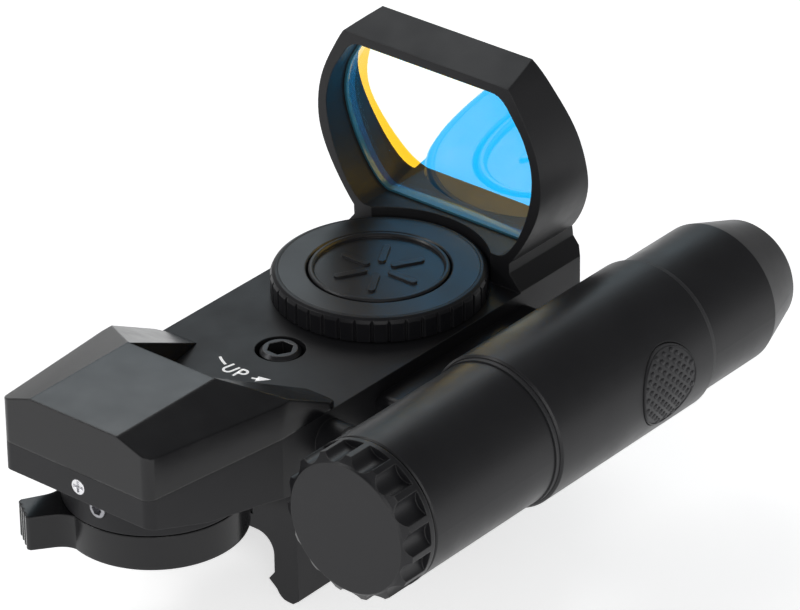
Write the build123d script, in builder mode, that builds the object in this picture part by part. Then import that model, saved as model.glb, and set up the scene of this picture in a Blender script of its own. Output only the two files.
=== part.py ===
from build123d import *
import math
import os

os.makedirs("parts", exist_ok=True)

# ---------------------------------------------------------------- dimensions (mm)
# Row frame: origin at the middle of the rail seat, +X towards the laser side,
# +Y along the aiming direction, +Z up.

# rail clamp
seat_half = 7.8          # half-width of the flat rail seat
jaw_half = 10.8          # half-width between the jaws' upright walls
jaw_outer = 15.1         # outside of the jaws
jaw_bottom = -9.8
clamp_len = 43.2
base_top = 8.3
bolt_y = 14.5            # clamp bolts at +-bolt_y
bolt_z = 3.7
bolt_r = 2.0
guide_y = 19.3           # jaw guide pins at +-guide_y
nut_af = 7.0

# zeroing linkage
tilt_y, tilt_z, tilt_r = 19.0, 11.2, 1.5
yaw_y, yaw_r = 0.5, 1.75
elev_y = -7.0
wind_y, wind_z = -16.0, 15.3
spring_y = 8.0
pocket_half = 9.9        # underside pocket of the housing
pocket_top = 14.4

# housing
deck_z = 19.3
half_w = 16.3
rear_half_w = 13.25
rear_y = -49.0
taper_y = -25.5
front_y = 40.7
body_bottom = 9.8

# lens hood
hood_rear_y = 25.8
roof_rear_z, roof_slope = 51.8, 0.21
# front face of the hood and its foot seen from the side, (y, z)
front_face = [(30.5, 60.0), (33.05, 49.5), (34.7, 42.5), (36.2, 36.0), (37.4, 32.5), (38.5, 29.5),
              (39.55, 26.7), (40.3, 24.3), (40.75, 21.5)]
floor_z = 24.15

# brightness dial and battery well
dial_y = 14.5
dial_r = 15.45
dial_top = 23.12
boss_r = 11.8
well_r = 10.25
notch_count = 40

# reticle selector
sel_y = -33.5
wheel_r = 12.9
wheel_top, wheel_bottom = 9.4, 4.2
collar_bottom = 9.6
optic_y = -38.5          # where the light passes the reticle disc

# laser
las_x, las_z = 37.77, 19.41
las_r, las_mid_r = 10.68, 11.32
cap_y0, cap_y1 = -37.8, -32.35
tube_y0, mid_y0, mid_y1 = -31.9, -6.1, 28.1
cone_y, nose_y, nose_r = 43.0, 51.8, 7.58
cell_r, cell_bore = 8.5, 8.9
cell_y0 = -28.9
button_y = 17.65
button_r = 5.95


def inset(points, d):
    """The same right-hand half outline, moved inwards by d along its normals."""
    out = []
    for i, (x, z) in enumerate(points):
        if i == 0:
            out.append((x - 0.55 * d, z - d))
        elif i == len(points) - 1:
            out.append((x - 0.35 * d, z + d))
        else:
            dx = points[i + 1][0] - points[i - 1][0]
            dz = points[i + 1][1] - points[i - 1][1]
            n = math.hypot(dx, dz)
            out.append((x + d * dz / n, z - d * dx / n))
    return out


# right-hand halves of the hood's outside and of its window, (x, z)
hood_out = [(13.25, 53.4), (14.75, 51.85), (16.6, 48.95), (18.3, 45.8), (19.6, 42.5),
            (20.25, 39.1), (20.25, 35.7), (19.5, 32.5), (18.2, 29.5), (16.6, 26.7), (14.95, 24.3)]
hood_win = [(11.9, 50.2), (13.7, 49.6), (15.5, 47.3), (17.0, 45.0), (18.0, 42.6), (18.6, 40.3),
            (18.75, 37.8), (18.5, 35.5), (17.9, 32.9), (17.0, 30.3), (16.0, 28.1), (14.9, 26.3),
            (13.7, 24.9), (12.4, floor_z)]
flare_y0, flare_y1 = 32.0, 36.0
flare_win = [(x + (0.7 if i < len(hood_win) - 2 else 0.35 * (len(hood_win) - 1 - i)), z) for i, (x, z) in enumerate(hood_win)]
lens_in = 0.45           # the lens is this much smaller than the window all round
lens_c_y, lens_c_z = 31.4, 37.3
lens_tilt = math.radians(7.4)
lens_R = 130.0
lens_t = 2.2

# ================================================================ rail clamp
# ---- base: fixed right-hand jaw, cross block and the ears of the tilt pin
with BuildPart() as mount_base:
    with BuildSketch(Plane.XZ.offset(clamp_len / 2)):
        with BuildLine():
            Polyline((-10.8, base_top), (-10.8, 0.6), (-seat_half - 0.1, 0.6),
                     (-seat_half - 0.1, 0), (seat_half, 0))
            ThreePointArc((seat_half, 0), (seat_half + 2.12, -0.88), (jaw_half, -3.0))
            Polyline((jaw_half, -3.0), (jaw_half, -5.85), (9.75, -7.2), (11.2, -8.4))
            Spline((11.2, -8.4), (11.75, -9.2), (12.6, -9.72))
            Polyline((12.6, -9.72), (13.4, jaw_bottom), (14.1, jaw_bottom), (jaw_outer, -9.0),
                     (jaw_outer, 7.3), (jaw_outer - 1.0, base_top), (-10.8, base_top))
        make_face()
    extrude(amount=-clamp_len)
    # ears that carry the tilt pin
    with BuildSketch(Plane.YZ.offset(6.6)):
        with Locations((tilt_y, base_top + 0.9)):
            Rectangle(5.2, 3.8)
        with Locations((tilt_y, tilt_z)):
            Circle(2.6)
    extrude(amount=2.4)
    with BuildSketch(Plane.YZ.offset(-9.0)):
        with Locations((tilt_y, base_top + 0.9)):
            Rectangle(5.2, 3.8)
        with Locations((tilt_y, tilt_z)):
            Circle(2.6)
    extrude(amount=2.4)
    with Locations(Location((0, tilt_y, tilt_z), (0, 90, 0))):
        Cylinder(tilt_r + 0.01, 20, mode=Mode.SUBTRACT)
    # room for the reticle selector behind
    with BuildSketch(Plane.XY.offset(2.2)):
        with Locations((0, sel_y)):
            Circle(wheel_r + 1.0)
    extrude(amount=10, mode=Mode.SUBTRACT)
    # spring pocket and elevation screw hole, both from above
    with BuildSketch(Plane.XY.offset(base_top)):
        with Locations((0, spring_y)):
            Circle(3.7)
    extrude(amount=-3.9, mode=Mode.SUBTRACT)
    with BuildSketch(Plane.XY.offset(base_top)):
        with Locations((0, elev_y)):
            Circle(3.0)
    extrude(amount=-6.6, mode=Mode.SUBTRACT)
    # cross bores: barrel nut, clamp bolts, guide pins
    with Locations(Location((-1.4, elev_y, 4.4), (0, 90, 0))):
        Cylinder(3.4, 19.0, mode=Mode.SUBTRACT)
    with Locations(Location((0, bolt_y, bolt_z), (0, 90, 0)),
                   Location((0, -bolt_y, bolt_z), (0, 90, 0))):
        Cylinder(bolt_r + 0.06, 40, mode=Mode.SUBTRACT)
    with Locations(Location((-8.3, guide_y, bolt_z), (0, 90, 0)),
                   Location((-8.3, -guide_y, bolt_z), (0, 90, 0))):
        Cylinder(1.2, 8.0, mode=Mode.SUBTRACT)
    # hexagonal pockets for the nuts in the outer face
    with BuildSketch(Plane.YZ.offset(jaw_outer)):
        with Locations((bolt_y, bolt_z), (-bolt_y, bolt_z)):
            RegularPolygon(radius=nut_af / 2 + 0.05, side_count=6, major_radius=False, rotation=30)
    extrude(amount=-3.2, mode=Mode.SUBTRACT)
mount_base.part.label = "mount_base"
export_step(mount_base.part, "parts/mount_base.step")

# ---- loose left-hand jaw
with BuildPart() as clamp_jaw:
    with BuildSketch(Plane.XZ.offset(clamp_len / 2)):
        with BuildLine():
            Polyline((-10.9, 7.3), (-10.9, -5.85), (-9.8, -7.2), (-11.2, -8.4))
            Spline((-11.2, -8.4), (-11.75, -9.2), (-12.6, -9.72))
            Polyline((-12.6, -9.72), (-13.4, jaw_bottom), (-14.1, jaw_bottom), (-jaw_outer, -9.0),
                     (-jaw_outer, 6.5), (-jaw_outer + 0.8, 7.3), (-10.9, 7.3))
        make_face()
    extrude(amount=-clamp_len)
    with Locations(Location((-13, bolt_y, bolt_z), (0, 90, 0)),
                   Location((-13, -bolt_y, bolt_z), (0, 90, 0))):
        Cylinder(bolt_r + 0.05, 10, mode=Mode.SUBTRACT)
    with Locations(Location((-13, guide_y, bolt_z), (0, 90, 0)),
                   Location((-13, -guide_y, bolt_z), (0, 90, 0))):
        Cylinder(1.25, 10, mode=Mode.SUBTRACT)
    # coin-wide relief between the two bolt heads
    with BuildSketch(Plane.YZ.offset(-jaw_outer)):
        with Locations((0, bolt_z - 0.2)):
            SlotOverall(16.0, 4.6)
    extrude(amount=0.8, mode=Mode.SUBTRACT)
clamp_jaw.part.label = "clamp_jaw"
export_step(clamp_jaw.part, "parts/clamp_jaw.step")

# ---- two clamp bolts with slotted, fluted heads
with BuildPart() as clamp_bolt_front:
    with Locations(Location((-0.7, bolt_y, bolt_z), (0, 90, 0))):
        Cylinder(bolt_r, 30.2)
    with BuildSketch(Plane.YZ.offset(-jaw_outer - 0.05)):
        with Locations((bolt_y, bolt_z)):
            Circle(4.3)
        with Locations((bolt_y, bolt_z)):
            with PolarLocations(4.75, 12):
                Circle(0.8, mode=Mode.SUBTRACT)
    extrude(amount=-4.0)
    with Locations((-jaw_outer - 4.05 + 0.6, bolt_y, bolt_z)):
        Box(1.25, 1.2, 9.4, mode=Mode.SUBTRACT)
clamp_bolt_front.part.label = "clamp_bolt_front"
export_step(clamp_bolt_front.part, "parts/clamp_bolt_front.step")

with BuildPart() as clamp_bolt_rear:
    with Locations(Location((-0.7, -bolt_y, bolt_z), (0, 90, 0))):
        Cylinder(bolt_r, 30.2)
    with BuildSketch(Plane.YZ.offset(-jaw_outer - 0.05)):
        with Locations((-bolt_y, bolt_z)):
            Circle(4.3)
        with Locations((-bolt_y, bolt_z)):
            with PolarLocations(4.75, 12):
                Circle(0.8, mode=Mode.SUBTRACT)
    extrude(amount=-4.0)
    with Locations((-jaw_outer - 4.05 + 0.6, -bolt_y, bolt_z)):
        Box(1.25, 1.2, 9.4, mode=Mode.SUBTRACT)
clamp_bolt_rear.part.label = "clamp_bolt_rear"
export_step(clamp_bolt_rear.part, "parts/clamp_bolt_rear.step")

# ---- hexagon nuts held in the base
with BuildPart() as clamp_nuts:
    with BuildSketch(Plane.YZ.offset(jaw_outer - 3.15)):
        with Locations((bolt_y, bolt_z), (-bolt_y, bolt_z)):
            RegularPolygon(radius=nut_af / 2, side_count=6, major_radius=False, rotation=30)
        with Locations((bolt_y, bolt_z), (-bolt_y, bolt_z)):
            Circle(bolt_r + 0.05, mode=Mode.SUBTRACT)
    extrude(amount=2.8)
clamp_nuts.part.label = "clamp_nuts"
export_step(clamp_nuts.part, "parts/clamp_nuts.step")

# ---- guide pins that keep the loose jaw square
with BuildPart() as jaw_guide_pins:
    with Locations(Location((-9.6, guide_y, bolt_z), (0, 90, 0)),
                   Location((-9.6, -guide_y, bolt_z), (0, 90, 0))):
        Cylinder(1.2, 10.4)
jaw_guide_pins.part.label = "jaw_guide_pins"
export_step(jaw_guide_pins.part, "parts/jaw_guide_pins.step")

# ================================================================ zeroing linkage
with BuildPart() as tilt_pin:
    with Locations(Location((0, tilt_y, tilt_z), (0, 90, 0))):
        Cylinder(tilt_r, 18.0)
tilt_pin.part.label = "tilt_pin"
export_step(tilt_pin.part, "parts/tilt_pin.step")

with BuildPart() as elevation_nut:
    with Locations(Location((-1.0, elev_y, 4.4), (0, 90, 0))):
        Cylinder(3.35, 17.6)
    with Locations((0, elev_y, 4.4)):
        Cylinder(2.55, 8.0, mode=Mode.SUBTRACT)
elevation_nut.part.label = "elevation_nut"
export_step(elevation_nut.part, "parts/elevation_nut.step")

with BuildPart() as return_spring:
    with BuildLine():
        coil = Helix(pitch=2.0, height=8.4, radius=2.9, center=(0, spring_y, 4.95))
    with BuildSketch(Plane(origin=coil @ 0, z_dir=coil % 0)):
        Circle(0.4)
    sweep(is_frenet=True)
return_spring.part.label = "return_spring"
export_step(return_spring.part, "parts/return_spring.step")

# ---- cradle: tilts on the base, and the housing turns on its upright pin
with BuildPart() as cradle:
    with BuildSketch(Plane.XY.offset(9.6)):
        with Locations((0, 1.0)):
            RectangleRounded(12.0, 39.2, 1.0)
    extrude(amount=2.6)
    with BuildSketch(Plane.YZ.offset(-6.4)):
        with Locations((tilt_y, tilt_z)):
            Circle(2.0)
    extrude(amount=12.8)
    with Locations((0, wind_y, 14.6)):
        Box(5.0, 4.8, 5.0)
    with BuildSketch(Plane.XY.offset(9.0)):
        with Locations((0, elev_y)):
            Circle(3.1)
        with Locations((0, spring_y)):
            Circle(4.0)
    extrude(amount=5.0, mode=Mode.SUBTRACT)
    with Locations((0, yaw_y, 11)):
        Cylinder(yaw_r + 0.005, 8, mode=Mode.SUBTRACT)
    with Locations(Location((0, tilt_y, tilt_z), (0, 90, 0))):
        Cylinder(tilt_r + 0.05, 20, mode=Mode.SUBTRACT)
    with Locations(Location((0, wind_y, wind_z), (0, 90, 0))):
        Cylinder(1.4, 8, mode=Mode.SUBTRACT)
cradle.part.label = "cradle"
export_step(cradle.part, "parts/cradle.step")

with BuildPart() as yaw_pin:
    with Locations((0, yaw_y, (9.7 + 16.9) / 2)):
        Cylinder(yaw_r, 16.9 - 9.7)
yaw_pin.part.label = "yaw_pin"
export_step(yaw_pin.part, "parts/yaw_pin.step")

# ================================================================ housing with lens hood
with BuildPart() as main_housing:
    # hood: a straight ring, roof rising and front face leaning towards the front
    with BuildSketch(Plane.XZ.offset(-24.6)):
        with BuildLine():
            Line((-hood_out[0][0], hood_out[0][1]), hood_out[0])
            Spline(*hood_out)
            Polyline(hood_out[-1], (14.3, 23.5), (14.3, 21.9), (half_w, 19.5), (half_w, 18.0),
                     (-half_w, 18.0), (-half_w, 19.5), (-14.3, 21.9), (-14.3, 23.5),
                     (-hood_out[-1][0], hood_out[-1][1]))
            Spline(*[(-x, z) for x, z in reversed(hood_out)])
        make_face()
    extrude(amount=-(front_y - 24.6))
    with BuildSketch(Plane.YZ.offset(-30)):
        Polygon((20, roof_rear_z - roof_slope * (hood_rear_y - 20)),
                (50, roof_rear_z + roof_slope * (50 - hood_rear_y)), (50, 70), (20, 70), align=None)
        # the rear face leans back a little
        Polygon((20, 15), (26.26, 15), (24.86, 56), (20, 56), align=None)
    extrude(amount=60, mode=Mode.SUBTRACT)
    with BuildSketch(Plane.YZ.offset(-30)):
        with BuildLine():
            Spline(*front_face)
            Polyline(front_face[-1], (60, front_face[-1][1]), (60, 60), front_face[0])
        make_face()
    extrude(amount=60, mode=Mode.SUBTRACT)
    # deck block, narrower towards the rear
    with BuildSketch(Plane.XY.offset(deck_z)) as plan:
        Polygon((-half_w, front_y), (half_w, front_y), (half_w, taper_y), (rear_half_w, rear_y),
                (-rear_half_w, rear_y), (-half_w, taper_y), align=None)
        fillet(plan.vertices().group_by(Axis.Y)[0], 1.5)
    extrude(amount=-(deck_z - body_bottom))
    # underside rises towards the rear
    with BuildSketch(Plane.YZ.offset(-30)):
        Polygon((-60, 5), (-24.3, 5), (-24.3, body_bottom), (-28.9, 10.6), (-34.7, 11.4),
                (-39, 12.0), (rear_y, 15.0), (-60, 18.0), align=None)
    extrude(amount=60, mode=Mode.SUBTRACT)
    # round collar above the reticle selector
    with BuildSketch(Plane.XY.offset(collar_bottom)):
        with Locations((0, sel_y)):
            Circle(wheel_r)
    extrude(amount=6.5)
    # boss round the battery well
    with BuildSketch(Plane.XY.offset(deck_z - 1)):
        with Locations((0, dial_y)):
            Circle(boss_r)
    extrude(amount=2.6 + 1)
    # round turret of the windage screw on the right-hand side
    with BuildSketch(Plane.YZ.offset(half_w - 1)):
        with Locations((wind_y, wind_z)):
            Circle(2.8)
    extrude(amount=4.5)
    # window through the hood
    with BuildSketch(Plane.XZ.offset(-(hood_rear_y - 5))):
        with BuildLine():
            Line((-hood_win[0][0], hood_win[0][1]), hood_win[0])
            Spline(*hood_win)
            Line(hood_win[-1], (-hood_win[-1][0], hood_win[-1][1]))
            Spline(*[(-x, z) for x, z in reversed(hood_win)])
        make_face()
    extrude(amount=-30, mode=Mode.SUBTRACT)
    # the window widens in front of the lens
    with BuildSketch(Plane.XZ.offset(-flare_y0)):
        with BuildLine():
            Line((-hood_win[0][0], hood_win[0][1]), hood_win[0])
            Spline(*hood_win)
            Line(hood_win[-1], (-hood_win[-1][0], hood_win[-1][1]))
            Spline(*[(-x, z) for x, z in reversed(hood_win)])
        make_face()
    with BuildSketch(Plane.XZ.offset(-flare_y1)):
        with BuildLine():
            Line((-flare_win[0][0], flare_win[0][1]), flare_win[0])
            Spline(*flare_win)
            Line(flare_win[-1], (-flare_win[-1][0], flare_win[-1][1]))
            Spline(*[(-x, z) for x, z in reversed(flare_win)])
        make_face()
    loft(ruled=True, mode=Mode.SUBTRACT)
    with BuildSketch(Plane.XZ.offset(-flare_y1)):
        with BuildLine():
            Line((-flare_win[0][0], flare_win[0][1]), flare_win[0])
            Spline(*flare_win)
            Line(flare_win[-1], (-flare_win[-1][0], flare_win[-1][1]))
            Spline(*[(-x, z) for x, z in reversed(flare_win)])
        make_face()
    extrude(amount=-8, mode=Mode.SUBTRACT)
    # front corners of the foot
    with BuildSketch(Plane.XY.offset(5)):
        Polygon((half_w, front_y - 0.9), (half_w + 1, front_y - 1.9), (half_w + 1, front_y + 1),
                (half_w - 1.9, front_y + 1), (half_w - 0.9, front_y), align=None)
        Polygon((-half_w, front_y - 0.9), (-half_w + 0.9, front_y), (-half_w + 1.9, front_y + 1),
                (-half_w - 1, front_y + 1), (-half_w - 1, front_y - 1.9), align=None)
    extrude(amount=20, mode=Mode.SUBTRACT)
    # the dial's front edge reaches into the foot of the hood
    with BuildSketch(Plane.XY.offset(deck_z)):
        with Locations((0, dial_y)):
            Circle(dial_r + 0.45)
            Circle(boss_r, mode=Mode.SUBTRACT)
    extrude(amount=6, mode=Mode.SUBTRACT)
    with BuildSketch(Plane.XY.offset(deck_z + 2.6)):
        with Locations((0, dial_y)):
            Circle(boss_r + 0.1)
    extrude(amount=3.4, mode=Mode.SUBTRACT)
    # battery well and the groove of the dial's contact board
    with BuildSketch(Plane.XY.offset(15.4)):
        with Locations((0, dial_y)):
            Circle(well_r)
    extrude(amount=12, mode=Mode.SUBTRACT)
    with BuildSketch(Plane.XY.offset(17.7)):
        with Locations((0, dial_y)):
            Circle(14.6)
            Circle(12.2, mode=Mode.SUBTRACT)
    extrude(amount=4.2 - 2.6, mode=Mode.SUBTRACT)
    # groove of the retaining clip
    with BuildSketch(Plane.XY.offset(20.7)):
        with Locations((0, dial_y)):
            Circle(boss_r + 0.2)
            Circle(boss_r - 0.5, mode=Mode.SUBTRACT)
    extrude(amount=0.6, mode=Mode.SUBTRACT)
    # elevation screw: recess and hole
    with Locations((0, elev_y, deck_z)):
        CounterBoreHole(radius=2.05, counter_bore_radius=3.6, counter_bore_depth=2.9, depth=12)
    # underside pocket for the cradle, its lug and its pin
    with BuildSketch(Plane.XY.offset(5)):
        with Locations((0, 1.7)):
            RectangleRounded(2 * pocket_half, 43.4, 1.5)
    extrude(amount=pocket_top - 5, mode=Mode.SUBTRACT)
    with BuildSketch(Plane.XY.offset(pocket_top - 1)):
        with Locations((0, wind_y)):
            Rectangle(8.0, 6.6)
    extrude(amount=4.4, mode=Mode.SUBTRACT)
    with Locations((0, yaw_y, 15.2)):
        Cylinder(yaw_r + 0.05, 4.2, mode=Mode.SUBTRACT)
    # windage screw: bore for the head, hole for the shank
    with Locations(Location((18.0, wind_y, wind_z), (0, 90, 0))):
        Cylinder(2.25, 6.0, mode=Mode.SUBTRACT)
    with Locations(Location((10.0, wind_y, wind_z), (0, 90, 0))):
        Cylinder(1.3, 14.0, mode=Mode.SUBTRACT)
    # laser mounting screws through the right-hand wall
    with Locations(Location((13, -1.0, 12.3), (0, 90, 0)), Location((13, 11.0, 12.3), (0, 90, 0))):
        Cylinder(1.55, 12, mode=Mode.SUBTRACT)
    # rear pocket: light source and reticle disc
    with BuildSketch(Plane.XY.offset(11.6)):
        with Locations((0, sel_y)):
            Circle(10.6)
    extrude(amount=10, mode=Mode.SUBTRACT)
    with Locations((0, sel_y, 10)):
        Cylinder(2.55, 8, mode=Mode.SUBTRACT)
    # seat of the cover's tab, the cover screw and the set screw
    with Locations((0, -46.8, 17.5)):
        Box(8.6, 1.6, 3.8, mode=Mode.SUBTRACT)
    with Locations(Location((0.4, -47, 17.0), (90, 0, 0))):
        Cylinder(0.85, 8, mode=Mode.SUBTRACT)
    with Locations(Location((0.4, rear_y + 0.35, 17.0), (90, 0, 0))):
        Cylinder(1.15, 0.72, mode=Mode.SUBTRACT)
    with Locations(Location((1.25, -45, 12.6), (90, 0, 0))):
        Cylinder(1.36, 4.0, mode=Mode.SUBTRACT)
    # hole of the selector's detent ball and spring
    with Locations((-10.5, sel_y, 9.7)):
        Cylinder(0.85, 2.6, mode=Mode.SUBTRACT)
main_housing.part.label = "main_housing"
export_step(main_housing.part, "parts/main_housing.step")

# ---- lens: a shallow spherical shell, leaning back at the top
lens_n = Vector(0, -math.cos(lens_tilt), -math.sin(lens_tilt))
lens_centre = Vector(0, lens_c_y, lens_c_z) + lens_n * lens_R
lens_out = inset(hood_win, lens_in)
with BuildPart() as reflex_lens:
    with BuildSketch(Plane.XZ.offset(-(hood_rear_y - 3))):
        with BuildLine():
            Line((-lens_out[0][0], lens_out[0][1]), lens_out[0])
            Spline(*lens_out)
            Line(lens_out[-1], (-lens_out[-1][0], lens_out[-1][1]))
            Spline(*[(-x, z) for x, z in reversed(lens_out)])
        make_face()
    extrude(amount=-18)
    with Locations(lens_centre):
        Sphere(lens_R + lens_t, mode=Mode.INTERSECT)
        Sphere(lens_R, mode=Mode.SUBTRACT)
reflex_lens.part.label = "reflex_lens"
export_step(reflex_lens.part, "parts/reflex_lens.step")

# ---- cement bead between lens and hood
bead_out, bead_in = inset(hood_win, 0.03), inset(hood_win, lens_in - 0.03)
with BuildPart() as lens_bead:
    with BuildSketch(Plane.XZ.offset(-(hood_rear_y - 3))):
        with BuildLine():
            Line((-bead_out[0][0], bead_out[0][1]), bead_out[0])
            Spline(*bead_out)
            Line(bead_out[-1], (-bead_out[-1][0], bead_out[-1][1]))
            Spline(*[(-x, z) for x, z in reversed(bead_out)])
        make_face()
        with BuildLine():
            Line((-bead_in[0][0], bead_in[0][1]), bead_in[0])
            Spline(*bead_in)
            Line(bead_in[-1], (-bead_in[-1][0], bead_in[-1][1]))
            Spline(*[(-x, z) for x, z in reversed(bead_in)])
        make_face(mode=Mode.SUBTRACT)
    extrude(amount=-18)
    with BuildSketch(Plane.YZ.offset(-30)):
        with Locations(Location((lens_c_y - 0.75, lens_c_z, 0), (0, 0, math.degrees(lens_tilt)))):
            Rectangle(1.9, 40)
    extrude(amount=60, mode=Mode.INTERSECT)
lens_bead.part.label = "lens_bead"
export_step(lens_bead.part, "parts/lens_bead.step")

# ================================================================ rear cover and light source
cover_top = 27.6
bevel_k = 0.343          # side bevels fall this much per mm of width
bevel_x = 7.85
fall_k = 0.507           # front facets fall this much per mm towards the front
fall_y = -29.3
tip_y = -13.1
with BuildPart() as rear_cover:
    with BuildSketch(Plane.XY.offset(deck_z + 0.02)) as cplan:
        Polygon((half_w, tip_y), (half_w, taper_y), (rear_half_w, rear_y), (-rear_half_w, rear_y),
                (-half_w, taper_y), (-half_w, tip_y), align=None)
        fillet(cplan.vertices().group_by(Axis.Y)[0], 1.5)
        fillet(cplan.vertices().group_by(Axis.Y)[-1], 2.6)
    extrude(amount=cover_top - deck_z)
    # side bevels
    for sgn in (1, -1):
        with BuildSketch(Plane.XZ.offset(60)):
            Polygon((sgn * bevel_x, cover_top), (sgn * 30, cover_top - bevel_k * (30 - bevel_x)),
                    (sgn * 30, 60), (sgn * bevel_x, 60), align=None)
        extrude(amount=-80, mode=Mode.SUBTRACT)
    # forward facet of both arms, falling from the top face to the tips
    with BuildSketch(Plane.YZ.offset(-30)):
        Polygon((fall_y, cover_top), (0, cover_top + fall_k * fall_y), (0, 60), (fall_y, 60), align=None)
    extrude(amount=60, mode=Mode.SUBTRACT)
    # notch between the arms for the light
    with BuildSketch(Plane.XY.offset(deck_z - 0.5)):
        Polygon((10.3, tip_y + 1), (10.1, tip_y), (9.0, -18.6), (8.0, -23.5), (6.9, -29.0),
                (-6.9, -29.0), (-8.0, -23.5), (-9.0, -18.6), (-10.1, tip_y), (-10.3, tip_y + 1), align=None)
    with BuildSketch(Plane.XY.offset(cover_top + 0.5)):
        Polygon((11.1, tip_y + 1), (10.9, tip_y), (9.8, -18.6), (8.8, -23.5), (7.6, -29.4),
                (-7.6, -29.4), (-8.8, -23.5), (-9.8, -18.6), (-10.9, tip_y), (-11.1, tip_y + 1), align=None)
    loft(ruled=True, mode=Mode.SUBTRACT)
    # hollow for the mirror, open underneath, with a window to the front
    with BuildSketch(Plane.XY.offset(deck_z - 1)):
        with Locations((0, -38.3)):
            Rectangle(13.0, 14.6)
    extrude(amount=1 + 6.7, mode=Mode.SUBTRACT)
    with Locations((0, -30, 23.3)):
        Box(10.4, 6, 5.0, mode=Mode.SUBTRACT)
    # apron that closes the housing's pocket in front of the window
    with BuildSketch(Plane.XY.offset(deck_z + 0.02)):
        Polygon((7.4, -30.2), (9.0, -22.2), (-9.0, -22.2), (-7.4, -30.2), align=None)
    extrude(amount=0.7)
    # tab that drops into the housing behind the screw
    with Locations((0, -46.8, 17.6)):
        Box(8.2, 1.4, 3.5)
    with Locations((0, -46.8, 19.9)):
        Box(8.2, 1.4, 1.3)
    with Locations(Location((0.4, -47, 17.0), (90, 0, 0))):
        Cylinder(0.75, 4, mode=Mode.SUBTRACT)
rear_cover.part.label = "rear_cover"
export_step(rear_cover.part, "parts/rear_cover.step")

with BuildPart() as cover_screw:
    with Locations(Location((0.4, rear_y + 0.33, 17.0), (90, 0, 0))):
        Cylinder(1.12, 0.7)
    with Locations(Location((0.4, rear_y + 2.0, 17.0), (90, 0, 0))):
        Cylinder(0.72, 3.2)
    with Locations((0.4, rear_y, 17.0)):
        Box(1.7, 0.9, 0.42, mode=Mode.SUBTRACT)
        Box(0.42, 0.9, 1.7, mode=Mode.SUBTRACT)
cover_screw.part.label = "cover_screw"
export_step(cover_screw.part, "parts/cover_screw.step")

with BuildPart() as collar_set_screw:
    with Locations(Location((1.25, -45.35, 12.6), (90, 0, 0))):
        Cylinder(1.32, 2.4)
    chamfer(collar_set_screw.edges().group_by(Axis.Y)[0], 0.12)
    with BuildSketch(Plane.XZ.offset(46.55)):
        with Locations((1.25, 12.6)):
            RegularPolygon(radius=0.9, side_count=6)
    extrude(amount=-1.2, mode=Mode.SUBTRACT)
collar_set_screw.part.label = "collar_set_screw"
export_step(collar_set_screw.part, "parts/collar_set_screw.step")

# ---- folding mirror above the reticle disc, with its wedge-shaped holder
with BuildPart() as fold_mirror:
    with BuildSketch(Plane.YZ.offset(-4)):
        with Locations(Location((optic_y, 22.6, 0), (0, 0, 45))):
            Rectangle(7.6, 0.9)
    extrude(amount=8)
fold_mirror.part.label = "fold_mirror"
export_step(fold_mirror.part, "parts/fold_mirror.step")

with BuildPart() as mirror_holder:
    with BuildSketch(Plane.YZ.offset(-4.6)):
        with BuildLine():
            Polyline((optic_y - 3.4, 19.9), (optic_y + 2.42, 25.72), (optic_y + 2.42, 26.0),
                     (optic_y - 5.4, 26.0), (optic_y - 5.4, 19.9), (optic_y - 3.4, 19.9))
        make_face()
    extrude(amount=9.2)
mirror_holder.part.label = "mirror_holder"
export_step(mirror_holder.part, "parts/mirror_holder.step")

with BuildPart() as emitter_window:
    with Locations((0, -29.9, 23.3)):
        Box(10.3, 1.0, 4.9)
emitter_window.part.label = "emitter_window"
export_step(emitter_window.part, "parts/emitter_window.step")

# ---- light source board, lamp and the selector's spring-loaded ball
with BuildPart() as led_board:
    with Locations((0, sel_y, 12.1)):
        Cylinder(9.3, 0.9)
        Cylinder(3.4, 2, mode=Mode.SUBTRACT)
led_board.part.label = "led_board"
export_step(led_board.part, "parts/led_board.step")

with BuildPart() as led_lamp:
    with Locations((0, optic_y, 13.2)):
        Cylinder(1.45, 1.3)
    with Locations((0, optic_y, 13.85)):
        Sphere(1.45)
    with Locations((0, optic_y, 11.0)):
        Box(4, 4, 3.1, mode=Mode.SUBTRACT)
led_lamp.part.label = "led_lamp"
export_step(led_lamp.part, "parts/led_lamp.step")

with BuildPart() as detent_ball:
    with Locations((-10.5, sel_y, 9.86)):
        Sphere(0.72)
detent_ball.part.label = "detent_ball"
export_step(detent_ball.part, "parts/detent_ball.step")

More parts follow.
